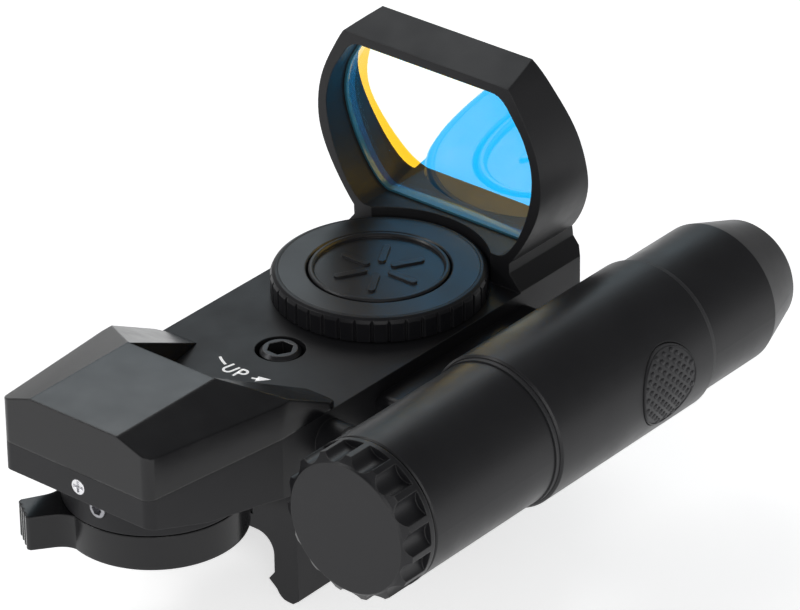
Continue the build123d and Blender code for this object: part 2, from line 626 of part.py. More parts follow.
# ================================================================ reticle selector
tab_a = -123.9           # direction of the finger tab, degrees from +X
det_step = 22.5
tab_plane = Plane(origin=(0, sel_y, wheel_bottom), z_dir=(0, 0, 1),
                  x_dir=(math.cos(math.radians(tab_a)), math.sin(math.radians(tab_a)), 0))
with BuildPart() as selector_wheel:
    with BuildSketch(tab_plane):
        Circle(wheel_r)
        with BuildLine():
            Polyline((9.5, -7.9), (11.4, -5.9))
            Spline((11.4, -5.9), (12.8, -3.5), (15.3, -2.7))
            Polyline((15.3, -2.7), (18.2, -2.5), (18.6, -2.1), (18.6, 2.1), (18.2, 2.5), (15.3, 2.7))
            Spline((15.3, 2.7), (12.8, 3.5), (11.4, 5.9))
            Polyline((11.4, 5.9), (9.5, 7.9), (9.5, -7.9))
        make_face()
    extrude(amount=wheel_top - wheel_bottom)
    # grip flutes across the tab's end
    with BuildSketch(tab_plane):
        with Locations((18.75, -1.25), (18.75, 0), (18.75, 1.25)):
            Circle(0.42)
    extrude(amount=8, mode=Mode.SUBTRACT)
    # ring track and dimples for the detent ball
    with BuildSketch(Plane.XY.offset(wheel_top)):
        with Locations((0, sel_y)):
            Circle(11.4)
            Circle(9.6, mode=Mode.SUBTRACT)
    extrude(amount=-0.35, mode=Mode.SUBTRACT)
    for k in range(4):
        ang = math.radians(180 - det_step * k)
        with Locations((10.5 * math.cos(ang), sel_y + 10.5 * math.sin(ang), wheel_top - 0.1)):
            Sphere(0.72, mode=Mode.SUBTRACT)
    # lightening recess underneath and the hole of the spindle's screw
    with BuildSketch(Plane.XY.offset(wheel_bottom)):
        with Locations((0, sel_y)):
            Circle(9.8)
            Circle(4.4, mode=Mode.SUBTRACT)
    extrude(amount=1.2, mode=Mode.SUBTRACT)
    with Locations((0, sel_y, wheel_bottom)):
        Cylinder(1.3, 20, mode=Mode.SUBTRACT)
        Cylinder(2.3, 3.2, mode=Mode.SUBTRACT)
selector_wheel.part.label = "selector_wheel"
export_step(selector_wheel.part, "parts/selector_wheel.step")

with BuildPart() as selector_spindle:
    with BuildSketch(Plane.XY.offset(wheel_top)):
        with Locations((0, sel_y)):
            Circle(2.5)
    extrude(amount=16.6 - wheel_top)
    with BuildSketch(Plane.XY.offset(16.6)):
        with Locations((0, sel_y)):
            Circle(1.6)
    extrude(amount=1.3)
    with Locations((0, sel_y, wheel_top)):
        Cylinder(1.25, 8.0, mode=Mode.SUBTRACT)
selector_spindle.part.label = "selector_spindle"
export_step(selector_spindle.part, "parts/selector_spindle.step")

with BuildPart() as selector_screw:
    with BuildSketch(Plane.XY.offset(wheel_bottom + 0.2)):
        with Locations((0, sel_y)):
            Circle(2.2)
    extrude(amount=1.35)
    with BuildSketch(Plane.XY.offset(wheel_bottom + 1.5)):
        with Locations((0, sel_y)):
            Circle(1.2)
    extrude(amount=7.4)
    with Locations((0, sel_y, wheel_bottom + 0.2)):
        Box(2.8, 0.6, 1.2, mode=Mode.SUBTRACT)
        Box(0.6, 2.8, 1.2, mode=Mode.SUBTRACT)
selector_screw.part.label = "selector_screw"
export_step(selector_screw.part, "parts/selector_screw.step")

with BuildPart() as reticle_disc:
    with BuildSketch(Plane.XY.offset(16.62)):
        with Locations((0, sel_y)):
            Circle(8.8)
            Circle(1.62, mode=Mode.SUBTRACT)
    extrude(amount=0.6)
reticle_disc.part.label = "reticle_disc"
export_step(reticle_disc.part, "parts/reticle_disc.step")

with BuildPart() as reticle_clip:
    with BuildSketch(Plane.XY.offset(17.24)):
        with Locations((0, sel_y)):
            Circle(3.0)
            Circle(1.62, mode=Mode.SUBTRACT)
        with Locations((0, sel_y + 2.5)):
            Rectangle(1.1, 2.6, mode=Mode.SUBTRACT)
    extrude(amount=0.4)
reticle_clip.part.label = "reticle_clip"
export_step(reticle_clip.part, "parts/reticle_clip.step")

# ================================================================ brightness dial and battery
dial_axis = Axis((0, dial_y, 0), (0, 0, 1))
dial_plane = Plane(origin=(0, dial_y, 0), x_dir=(1, 0, 0), z_dir=(0, -1, 0))
with BuildPart() as brightness_dial:
    with BuildSketch(dial_plane):
        Polygon((boss_r + 0.06, deck_z + 0.25), (dial_r, deck_z + 0.25), (dial_r, 22.4),
                (dial_r - 0.25, 22.85), (dial_r - 0.7, dial_top), (14.35, dial_top), (14.35, 22.0),
                (12.9, 22.0), (12.9, 20.62), (boss_r + 0.06, 20.62), align=None)
    revolve(axis=dial_axis)
    # V grooves down the grip
    with Locations((0, dial_y, 21.2)):
        with PolarLocations(dial_r + 0.12, notch_count):
            with Locations(Location((0, 0, 0), (0, 0, 45))):
                Box(0.62, 0.62, 6.0, mode=Mode.SUBTRACT)
brightness_dial.part.label = "brightness_dial"
export_step(brightness_dial.part, "parts/brightness_dial.step")

with BuildPart() as dial_face:
    with BuildSketch(Plane.XY.offset(22.0)):
        with Locations((0, dial_y)):
            Circle(14.33)
            Circle(10.3, mode=Mode.SUBTRACT)
    extrude(amount=dial_top - 22.0)
    chamfer(dial_face.edges().filter_by(GeomType.CIRCLE).group_by(Axis.Z)[-1].sort_by(SortBy.LENGTH)[0], 0.2)
dial_face.part.label = "dial_face"
export_step(dial_face.part, "parts/dial_face.step")

with BuildPart() as dial_clip:
    with BuildSketch(Plane.XY.offset(20.75)):
        with Locations((0, dial_y)):
            Circle(12.6)
            Circle(boss_r - 0.45, mode=Mode.SUBTRACT)
        with Locations((12.2, dial_y)):
            Rectangle(3.2, 4.0, mode=Mode.SUBTRACT)
    extrude(amount=0.5)
dial_clip.part.label = "dial_clip"
export_step(dial_clip.part, "parts/dial_clip.step")

with BuildPart() as contact_board:
    with BuildSketch(Plane.XY.offset(17.72)):
        with Locations((0, dial_y)):
            Circle(14.5)
            Circle(12.3, mode=Mode.SUBTRACT)
    extrude(amount=0.7)
contact_board.part.label = "contact_board"
export_step(contact_board.part, "parts/contact_board.step")

# sprung wiper under the dial
with BuildPart() as dial_wiper:
    with BuildSketch(Plane.XY.offset(18.9)):
        with Locations((0, dial_y)):
            Circle(14.3)
            Circle(12.5, mode=Mode.SUBTRACT)
        with Locations((0, dial_y - 10)):
            Rectangle(40, 36, mode=Mode.SUBTRACT)
    extrude(amount=deck_z + 0.25 - 18.9)
    with Locations((0, dial_y + 13.4, 18.75)):
        Box(1.2, 1.2, 0.36)
dial_wiper.part.label = "dial_wiper"
export_step(dial_wiper.part, "parts/dial_wiper.step")

# ---- round cell, its contact spring, screw cap and seal
with BuildPart() as coin_cell:
    with BuildSketch(Plane.XY.offset(16.0)):
        with Locations((0, dial_y)):
            Circle(10.0)
    extrude(amount=3.2)
    with BuildSketch(Plane.XY.offset(16.0)):
        with Locations((0, dial_y)):
            Circle(10.5)
            Circle(8.9, mode=Mode.SUBTRACT)
    extrude(amount=0.35, mode=Mode.SUBTRACT)
coin_cell.part.label = "coin_cell"
export_step(coin_cell.part, "parts/coin_cell.step")

with BuildPart() as cell_contact:
    with BuildSketch(Plane.XY.offset(15.42)):
        with Locations((0, dial_y)):
            Circle(3.0)
            for a in (90, 210, 330):
                with Locations(Location((0, 0, 0), (0, 0, a))):
                    with Locations((4.5, 0)):
                        Rectangle(6.0, 1.8)
    extrude(amount=0.2)
    with Locations((0, dial_y, 15.75)):
        Cylinder(1.2, 0.4)
cell_contact.part.label = "cell_contact"
export_step(cell_contact.part, "parts/cell_contact.step")

with BuildPart() as battery_cap:
    with BuildSketch(dial_plane):
        Polygon((0, 19.5), (9.4, 19.5), (9.4, 20.3), (9.0, 20.3), (9.0, 21.1), (10.17, 21.1), (10.17, 21.9),
                (10.05, 22.05), (10.05, 23.1), (9.85, 23.3), (9.5, 23.3), (9.25, 23.05),
                (9.25, 22.7), (0, 22.7), align=None)
    revolve(axis=dial_axis)
    # plain six-spoke relief in the middle of the cap
    with BuildSketch(Plane.XY.offset(22.7)):
        with Locations((0, dial_y)):
            with PolarLocations(4.3, 6):
                SlotOverall(5.0, 1.1)
    extrude(amount=0.3)
battery_cap.part.label = "battery_cap"
export_step(battery_cap.part, "parts/battery_cap.step")

with BuildPart() as cap_seal:
    with BuildSketch(dial_plane):
        with Locations((9.7, 20.7)):
            Circle(0.35)
        Polygon((9.45, 20.4), (9.7, 20.36), (9.7, 21.04), (9.45, 21.0), align=None)
    revolve(axis=dial_axis)
cap_seal.part.label = "cap_seal"
export_step(cap_seal.part, "parts/cap_seal.step")

# ================================================================ zeroing screws
with BuildPart() as elevation_screw:
    with BuildSketch(Plane.XY.offset(16.42)):
        with Locations((0, elev_y)):
            Circle(2.95)
    extrude(amount=3.1)
    chamfer(elevation_screw.edges().group_by(Axis.Z)[-1], 0.5)
    with BuildSketch(Plane.XY.offset(2.6)):
        with Locations((0, elev_y)):
            Circle(2.0)
    extrude(amount=14)
    with BuildSketch(Plane.XY.offset(19.52)):
        with Locations((0, elev_y)):
            RegularPolygon(radius=1.7, side_count=6, major_radius=False)
    extrude(amount=-2.2, mode=Mode.SUBTRACT)
elevation_screw.part.label = "elevation_screw"
export_step(elevation_screw.part, "parts/elevation_screw.step")

with BuildPart() as windage_screw:
    with BuildSketch(Plane.YZ.offset(15.2)):
        with Locations((wind_y, wind_z)):
            Circle(2.2)
    extrude(amount=4.0)
    with BuildSketch(Plane.YZ.offset(-3.4)):
        with Locations((wind_y, wind_z)):
            Circle(1.25)
    extrude(amount=19)
    with BuildSketch(Plane.YZ.offset(19.2)):
        with Locations((wind_y, wind_z)):
            RegularPolygon(radius=1.25, side_count=6, major_radius=False)
    extrude(amount=-2.0, mode=Mode.SUBTRACT)
windage_screw.part.label = "windage_screw"
export_step(windage_screw.part, "parts/windage_screw.step")

# ================================================================ side laser
las_axis = Axis((las_x, 0, las_z), (0, 1, 0))
las_plane = Plane(origin=(las_x, 0, las_z), x_dir=(1, 0, 0), z_dir=(0, 0, 1))   # (radius, y)

with BuildPart() as laser_body:
    with BuildSketch(las_plane):
        Polygon((cell_bore, mid_y0), (las_mid_r - 0.3, mid_y0), (las_mid_r, mid_y0 + 0.3),
                (las_mid_r, mid_y1 - 0.3), (las_mid_r - 0.3, mid_y1), (cell_bore, mid_y1), align=None)
    revolve(axis=las_axis)
    # mounting bar along the housing
    with BuildSketch(Plane.YZ.offset(half_w + 0.01)):
        with Locations(((mid_y0 + mid_y1) / 2, 13.8)):
            RectangleRounded(mid_y1 - mid_y0, 6.6, 1.4)
    extrude(amount=16)
    with Locations(Location((las_x, 11, las_z), (90, 0, 0))):
        Cylinder(cell_bore, 60, mode=Mode.SUBTRACT)
    # counterbores for the spigots of the rear tube and the head
    with Locations(Location((las_x, mid_y0 + 2.5, las_z), (90, 0, 0)),
                   Location((las_x, mid_y1 - 2.5, las_z), (90, 0, 0))):
        Cylinder(9.95, 5.02, mode=Mode.SUBTRACT)
    # seat of the button
    with BuildSketch(Plane.YZ.offset(las_x + 5)):
        with Locations((button_y, las_z + 0.4)):
            Circle(button_r)
    extrude(amount=10, mode=Mode.SUBTRACT)
    # tapped holes for the mounting screws
    with Locations(Location((20, -1.0, 12.3), (0, 90, 0)), Location((20, 11.0, 12.3), (0, 90, 0))):
        Cylinder(1.55, 9, mode=Mode.SUBTRACT)
laser_body.part.label = "laser_body"
export_step(laser_body.part, "parts/laser_body.step")

with BuildPart() as laser_mount_screws:
    for y in (-1.0, 11.0):
        with BuildSketch(Plane.YZ.offset(pocket_half - 1.65)):
            with Locations((y, 12.3)):
                Circle(2.05)
        extrude(amount=1.6)
        with BuildSketch(Plane.YZ.offset(pocket_half - 0.1)):
            with Locations((y, 12.3)):
                Circle(1.5)
        extrude(amount=13.0)
        with BuildSketch(Plane.YZ.offset(pocket_half - 1.65)):
            with Locations((y, 12.3)):
                RegularPolygon(radius=0.9, side_count=6, major_radius=False)
        extrude(amount=1.0, mode=Mode.SUBTRACT)
laser_mount_screws.part.label = "laser_mount_screws"
export_step(laser_mount_screws.part, "parts/laser_mount_screws.step")

with BuildPart() as laser_rear_tube:
    with BuildSketch(las_plane):
        Polygon((cell_bore, tube_y0), (las_r - 0.25, tube_y0), (las_r, tube_y0 + 0.25), (las_r, mid_y0 - 0.75),
                (9.9, mid_y0 - 0.75), (9.9, mid_y0 + 4.5), (cell_bore, mid_y0 + 4.5), align=None)
    revolve(axis=las_axis)
laser_rear_tube.part.label = "laser_rear_tube"
export_step(laser_rear_tube.part, "parts/laser_rear_tube.step")

with BuildPart() as laser_head:
    with BuildSketch(las_plane):
        Polygon((6.4, mid_y1 - 4.2), (9.9, mid_y1 - 4.2), (9.9, mid_y1 + 0.75), (las_r, mid_y1 + 0.75),
                (las_r, cone_y), (nose_r + 0.5, nose_y - 0.9), (nose_r, nose_y - 0.3), (nose_r - 0.4, nose_y),
                (4.2, nose_y), (4.2, nose_y - 2.2), (6.4, nose_y - 2.2), align=None)
    revolve(axis=las_axis)
    # two blind holes for the beam adjusters, below and on the inner side
    with Locations((las_x, 36.0, las_z - 9.0)):
        Cylinder(1.3, 6.0, mode=Mode.SUBTRACT)
    with Locations(Location((las_x - 9.0, 36.0, las_z), (0, 90, 0))):
        Cylinder(1.3, 6.0, mode=Mode.SUBTRACT)
laser_head.part.label = "laser_head"
export_step(laser_head.part, "parts/laser_head.step")

with BuildPart() as tube_seal_rings:
    with BuildSketch(las_plane):
        Polygon((9.95, mid_y0 - 0.72), (10.9, mid_y0 - 0.72), (10.9, mid_y0 - 0.02), (9.95, mid_y0 - 0.02), align=None)
        Polygon((9.95, mid_y1 + 0.02), (10.9, mid_y1 + 0.02), (10.9, mid_y1 + 0.72), (9.95, mid_y1 + 0.72), align=None)
    revolve(axis=las_axis)
tube_seal_rings.part.label = "tube_seal_rings"
export_step(tube_seal_rings.part, "parts/tube_seal_rings.step")

# ---- rear cap, fluted, with its seal
with BuildPart() as laser_cap:
    with BuildSketch(las_plane):
        Polygon((0, cap_y0), (9.45, cap_y0), (9.75, cap_y0 + 0.3), (10.75, cap_y0 + 0.9), (10.75, cap_y1),
                (8.0, cap_y1), (8.0, cap_y1 + 1.3), (8.82, cap_y1 + 1.3), (8.82, cap_y1 + 3.2),
                (6.6, cap_y1 + 3.2), (6.6, cap_y0 + 2.2), (0, cap_y0 + 2.2), align=None)
    revolve(axis=las_axis)
    with BuildSketch(Plane.XZ.offset(-cap_y0)):
        with Locations((las_x, las_z)):
            with PolarLocations(11.75, 15, start_angle=6):
                Circle(2.1)
    extrude(amount=-(cap_y1 - cap_y0 - 0.75), mode=Mode.SUBTRACT)
laser_cap.part.label = "laser_cap"
export_step(laser_cap.part, "parts/laser_cap.step")

with BuildPart() as laser_cap_seal:
    with BuildSketch(las_plane):
        with Locations((8.45, cap_y1 + 0.65)):
            Circle(0.38)
        Polygon((8.05, cap_y1 + 0.35), (8.45, cap_y1 + 0.28), (8.45, cap_y1 + 1.02), (8.05, cap_y1 + 0.95), align=None)
    revolve(axis=las_axis)
laser_cap_seal.part.label = "laser_cap_seal"
export_step(laser_cap_seal.part, "parts/laser_cap_seal.step")

with BuildPart() as cap_contact:
    with BuildSketch(las_plane):
        Polygon((0, cap_y0 + 2.25), (5.6, cap_y0 + 2.25), (5.6, cap_y0 + 2.55), (3.6, cap_y0 + 2.55),
                (3.0, cap_y0 + 8.5), (0, cap_y0 + 8.5), (0, cap_y0 + 8.2), (2.7, cap_y0 + 8.2),
                (3.3, cap_y0 + 2.55), (0, cap_y0 + 2.55), align=None)
    revolve(axis=las_axis)
cap_contact.part.label = "cap_contact"
export_step(cap_contact.part, "parts/cap_contact.step")

# ---- what is inside the tube
with BuildPart() as laser_cell:
    with BuildSketch(las_plane):
        Polygon((0, cell_y0), (8.3, cell_y0), (cell_r, cell_y0 + 0.2), (cell_r, cell_y0 + 33.0),
                (8.2, cell_y0 + 33.3), (3.2, cell_y0 + 33.3), (3.2, cell_y0 + 34.5), (0, cell_y0 + 34.5), align=None)
    revolve(axis=las_axis)
laser_cell.part.label = "laser_cell"
export_step(laser_cell.part, "parts/laser_cell.step")

with BuildPart() as cell_spring:
    with BuildLine():
        coil = Helix(pitch=1.1, height=2.2, radius=3.4, center=(las_x, 6.05, las_z), direction=(0, 1, 0))
    with BuildSketch(Plane(origin=coil @ 0, z_dir=coil % 0)):
        Circle(0.35)
    sweep(is_frenet=True)
cell_spring.part.label = "cell_spring"
export_step(cell_spring.part, "parts/cell_spring.step")

with BuildPart() as driver_board:
    with Locations(Location((las_x, 9.2, las_z), (90, 0, 0))):
        Cylinder(8.6, 1.2)
    with Locations((las_x, 15.6, las_z)):
        Box(14.0, 11.6, 1.2)
driver_board.part.label = "driver_board"
export_step(driver_board.part, "parts/driver_board.step")

with BuildPart() as tact_switch:
    with Locations((las_x + 5.2, button_y, las_z + 1.9)):
        Box(3.2, 6.0, 2.4)
    with Locations(Location((las_x + 6.95, button_y, las_z + 1.9), (0, 90, 0))):
        Cylinder(1.1, 0.9)
tact_switch.part.label = "tact_switch"
export_step(tact_switch.part, "parts/tact_switch.step")

with BuildPart() as laser_module:
    with BuildSketch(las_plane):
        Polygon((0, 24.0), (5.9, 24.0), (5.9, 46.0), (3.0, 46.0), (3.0, 43.6), (0, 43.6), align=None)
    revolve(axis=las_axis)
laser_module.part.label = "laser_module"
export_step(laser_module.part, "parts/laser_module.step")

with BuildPart() as collimator_lens:
    with BuildSketch(las_plane):
        Polygon((0, 43.65), (2.9, 43.65), (2.9, 44.2), (2.2, 44.5), (1.3, 44.72), (0, 44.8), align=None)
    revolve(axis=las_axis)
collimator_lens.part.label = "collimator_lens"
export_step(collimator_lens.part, "parts/collimator_lens.step")

with BuildPart() as nose_window:
    with Locations(Location((las_x, nose_y - 2.9, las_z), (90, 0, 0))):
        Cylinder(6.3, 1.2)
nose_window.part.label = "nose_window"
export_step(nose_window.part, "parts/nose_window.step")

with BuildPart() as beam_adjusters:
    with Locations((las_x, 36.0, las_z - 8.25)):
        Cylinder(1.25, 4.5)
    with Locations(Location((las_x - 8.25, 36.0, las_z), (0, 90, 0))):
        Cylinder(1.25, 4.5)
    with BuildSketch(Plane.XY.offset(las_z - 10.5)):
        with Locations((las_x, 36.0)):
            RegularPolygon(radius=0.65, side_count=6)
    extrude(amount=1.2, mode=Mode.SUBTRACT)
    with BuildSketch(Plane.YZ.offset(las_x - 10.5)):
        with Locations((36.0, las_z)):
            RegularPolygon(radius=0.65, side_count=6)
    extrude(amount=1.2, mode=Mode.SUBTRACT)
beam_adjusters.part.label = "beam_adjusters"
export_step(beam_adjusters.part, "parts/beam_adjusters.step")

# ---- rubber push button with a domed, dotted face
with BuildPart() as laser_button:
    with BuildSketch(las_plane):
        Polygon((las_mid_r - 2.3, mid_y0 + 4), (las_mid_r + 0.15, mid_y0 + 4), (las_mid_r + 0.15, mid_y1 - 1),
                (las_mid_r - 2.3, mid_y1 - 1), align=None)
    revolve(axis=las_axis)
    with BuildSketch(Plane.YZ.offset(las_x + 5)):
        with Locations((button_y, las_z + 0.4)):
            Circle(button_r - 0.12)
    extrude(amount=10, mode=Mode.INTERSECT)
    # stem towards the switch
    with Locations(Location((las_x + 9.0, button_y, las_z + 1.9), (0, 90, 0))):
        Cylinder(1.3, 1.6)
laser_button.part.label = "laser_button"
export_step(laser_button.part, "parts/laser_button.step")
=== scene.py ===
import math

import bmesh
import bpy
from mathutils import Matrix, Vector


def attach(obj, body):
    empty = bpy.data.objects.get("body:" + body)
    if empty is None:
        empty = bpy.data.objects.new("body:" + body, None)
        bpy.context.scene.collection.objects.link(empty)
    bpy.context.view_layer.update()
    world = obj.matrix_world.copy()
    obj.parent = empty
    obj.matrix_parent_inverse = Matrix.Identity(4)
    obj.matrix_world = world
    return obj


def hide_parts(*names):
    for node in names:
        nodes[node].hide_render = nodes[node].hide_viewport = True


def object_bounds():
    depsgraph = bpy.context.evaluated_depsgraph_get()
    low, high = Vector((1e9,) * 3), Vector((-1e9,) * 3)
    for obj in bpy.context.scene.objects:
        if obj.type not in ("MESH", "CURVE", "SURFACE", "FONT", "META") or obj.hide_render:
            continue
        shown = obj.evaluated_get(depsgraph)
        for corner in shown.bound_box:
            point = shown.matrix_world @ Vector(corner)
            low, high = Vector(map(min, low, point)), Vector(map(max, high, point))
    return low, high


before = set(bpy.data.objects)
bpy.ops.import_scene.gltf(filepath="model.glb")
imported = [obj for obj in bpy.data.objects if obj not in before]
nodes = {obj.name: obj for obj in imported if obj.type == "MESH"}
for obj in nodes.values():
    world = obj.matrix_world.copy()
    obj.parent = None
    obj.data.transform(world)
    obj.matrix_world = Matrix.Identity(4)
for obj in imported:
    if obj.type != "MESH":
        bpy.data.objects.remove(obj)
cad_lo, cad_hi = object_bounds()
MM = 0.001
scene = bpy.context.scene
scene.view_settings.view_transform = "Standard"
scene.view_settings.look = "None"

# ------------------------------------------------------------------ materials


def new_mat(name):
    m = bpy.data.materials.new(name)
    m.use_nodes = True
    nt = m.node_tree
    nt.nodes.clear()
    out = nt.nodes.new("ShaderNodeOutputMaterial")
    bsdf = nt.nodes.new("ShaderNodeBsdfPrincipled")
    nt.links.new(bsdf.outputs[0], out.inputs[0])
    return m, nt, bsdf


def add(nt, kind, **kw):
    n = nt.nodes.new(kind)
    for k, v in kw.items():
        setattr(n, k, v)
    return n


def noise(nt, coord, scale, detail=3.0, rough=0.55, stretch=None):
    """Noise in row coordinates; scale is features per metre."""
    n = add(nt, "ShaderNodeTexNoise")
    n.inputs["Scale"].default_value = scale
    n.inputs["Detail"].default_value = detail
    n.inputs["Roughness"].default_value = rough
    if stretch:
        mp = add(nt, "ShaderNodeMapping")
        mp.inputs["Scale"].default_value = stretch
        nt.links.new(coord, mp.inputs["Vector"])
        nt.links.new(mp.outputs[0], n.inputs["Vector"])
    else:
        nt.links.new(coord, n.inputs["Vector"])
    return n.outputs["Fac"]


def span(nt, fac, lo, hi, a=0.3, b=0.7):
    r = add(nt, "ShaderNodeMapRange")
    r.inputs["From Min"].default_value = a
    r.inputs["From Max"].default_value = b
    r.inputs["To Min"].default_value = lo
    r.inputs["To Max"].default_value = hi
    nt.links.new(fac, r.inputs["Value"])
    return r.outputs["Result"]


def surface(name, base, rough, metallic=0.0, spec=0.5, coat=0.0, coat_rough=0.1,
            grain=7000.0, grain_amt=0.12, grain_depth=0.00002, cloud=160.0, rough_var=0.05,
            edge_r=0.00022, edge_tint=0.0, stretch=None, shade=0.25):
    """A solid finish: fine grain in the relief, slow changes in gloss and tone, softened and slightly worn edges."""
    m, nt, b = new_mat(name)
    co = add(nt, "ShaderNodeTexCoord").outputs["Object"]
    fine = noise(nt, co, grain, 2.0, 0.6, stretch)
    slow = noise(nt, co, cloud, 4.0, 0.6)
    b.inputs["Metallic"].default_value = metallic
    b.inputs["Specular IOR Level"].default_value = spec
    b.inputs["Coat Weight"].default_value = coat
    b.inputs["Coat Roughness"].default_value = coat_rough
    nt.links.new(span(nt, slow, rough - rough_var, rough + rough_var), b.inputs["Roughness"])
    # tone
    mix = add(nt, "ShaderNodeMix", data_type="RGBA")
    mix.inputs["A"].default_value = tuple(c * (1 - shade) for c in base) + (1,)
    mix.inputs["B"].default_value = tuple(min(1, c * (1 + shade)) for c in base) + (1,)
    both = add(nt, "ShaderNodeMath", operation="ADD")
    half = add(nt, "ShaderNodeMath", operation="MULTIPLY")
    half.inputs[1].default_value = 0.5
    nt.links.new(fine, both.inputs[0])
    nt.links.new(slow, both.inputs[1])
    nt.links.new(both.outputs[0], half.inputs[0])
    nt.links.new(half.outputs[0], mix.inputs["Factor"])
    colour = mix.outputs["Result"]
    bevel = add(nt, "ShaderNodeBevel", samples=4)
    bevel.inputs["Radius"].default_value = edge_r
    if edge_tint:
        geo = add(nt, "ShaderNodeNewGeometry")
        dot = add(nt, "ShaderNodeVectorMath", operation="DOT_PRODUCT")
        nt.links.new(bevel.outputs[0], dot.inputs[0])
        nt.links.new(geo.outputs["Normal"], dot.inputs[1])
        mask = add(nt, "ShaderNodeMapRange")
        mask.inputs["From Min"].default_value = 0.995
        mask.inputs["From Max"].default_value = 0.90
        nt.links.new(dot.outputs["Value"], mask.inputs["Value"])
        patch = add(nt, "ShaderNodeMath", operation="MULTIPLY")
        nt.links.new(mask.outputs[0], patch.inputs[0])
        nt.links.new(span(nt, slow, 0.1, 1.0), patch.inputs[1])
        worn = add(nt, "ShaderNodeMix", data_type="RGBA")
        worn.inputs["B"].default_value = (edge_tint, edge_tint, edge_tint, 1)
        nt.links.new(patch.outputs[0], worn.inputs["Factor"])
        nt.links.new(colour, worn.inputs["A"])
        colour = worn.outputs["Result"]
    nt.links.new(colour, b.inputs["Base Color"])
    bump = add(nt, "ShaderNodeBump")
    bump.inputs["Strength"].default_value = grain_amt
    bump.inputs["Distance"].default_value = grain_depth
    nt.links.new(fine, bump.inputs["Height"])
    nt.links.new(bevel.outputs[0], bump.inputs["Normal"])
    nt.links.new(bump.outputs[0], b.inputs["Normal"])
    return m


BLACK = surface("satin_black_anodise", (0.013, 0.013, 0.0145), 0.44, spec=0.22, grain=5200, grain_amt=0.35, edge_tint=0.05)
TUBE = surface("tube_black_anodise", (0.0105, 0.0105, 0.012), 0.36, spec=0.28, grain=6500, grain_amt=0.25, edge_tint=0.05)
COVER = surface("moulded_black_cover", (0.008, 0.008, 0.009), 0.22, spec=0.34, grain=2600, grain_amt=0.12, cloud=220, rough_var=0.04, edge_r=0.0004)
DIAL = surface("dial_black_anodise", (0.012, 0.012, 0.014), 0.36, spec=0.2, grain=4200, grain_amt=0.2, edge_tint=0.06)
FACE = surface("dial_face_black", (0.014, 0.014, 0.016), 0.34, spec=0.36, grain=4200, grain_amt=0.3)
STEEL_DARK = surface("black_oxide_steel", (0.035, 0.035, 0.038), 0.34, metallic=0.75, grain=3000, grain_amt=0.3, edge_tint=0.22, stretch=(1, 1, 4))
STEEL = surface("nickel_plate", (0.72, 0.72, 0.74), 0.2, metallic=1.0, grain=3000, grain_amt=0.12, shade=0.08)
ALLOY = surface("turned_alloy", (0.33, 0.33, 0.35), 0.34, metallic=0.9, grain=3500, grain_amt=0.3, shade=0.12, stretch=(5, 1, 1))
BRASS = surface("contact_brass", (0.72, 0.52, 0.2), 0.3, metallic=1.0, grain=3000, grain_amt=0.2, shade=0.1)
BOARD = surface("solder_mask_green", (0.01, 0.11, 0.045), 0.35, grain=2200, grain_amt=0.4)
MOULD = surface("switch_moulding", (0.03, 0.03, 0.032), 0.5, grain=3000, grain_amt=0.3)
LAMP = surface("lamp_red_moulding", (0.5, 0.02, 0.02), 0.15, coat=0.5, grain=2000, grain_amt=0.1)
RUBBER = surface("rubber_black", (0.022, 0.022, 0.024), 0.52, spec=0.45, grain=3600, grain_amt=0.5, edge_r=0.00015)
CELLWRAP = surface("cell_wrap_film", (0.06, 0.075, 0.14), 0.25, coat=0.6, grain=1500, grain_amt=0.08)
WHITE = surface("white_print_painted_glow", (0.95, 0.95, 0.95), 0.5, grain=9000, grain_amt=0.3, shade=0.06, edge_r=0.00002)
# painted glow: the white print is no lamp, but emission 0.3 makes it shine brighter than its real white print colour
# under the lights
WHITE.node_tree.nodes["Principled BSDF"].inputs["Emission Color"].default_value = (1, 1, 1, 1)
WHITE.node_tree.nodes["Principled BSDF"].inputs["Emission Strength"].default_value = 0.3
MIRROR = surface("front_silvering", (0.85, 0.86, 0.88), 0.04, metallic=1.0, grain=1500, grain_amt=0.03, shade=0.03)


def clear_glass(name, tint):
    m, nt, b = new_mat(name)
    co = add(nt, "ShaderNodeTexCoord").outputs["Object"]
    b.inputs["Transmission Weight"].default_value = 1.0
    b.inputs["IOR"].default_value = 1.49
    nt.links.new(span(nt, noise(nt, co, 900, 3), 0.0, 0.03), b.inputs["Roughness"])
    ramp = add(nt, "ShaderNodeMix", data_type="RGBA")
    ramp.inputs["A"].default_value = tuple(c * 0.94 for c in tint) + (1,)
    ramp.inputs["B"].default_value = tint + (1,)
    nt.links.new(noise(nt, co, 300, 3), ramp.inputs["Factor"])
    nt.links.new(ramp.outputs["Result"], b.inputs["Base Color"])
    return m


CLEAR = clear_glass("clear_glass", (0.86, 0.9, 0.93))
SMOKE = clear_glass("printed_disc_glass", (0.3, 0.31, 0.33))


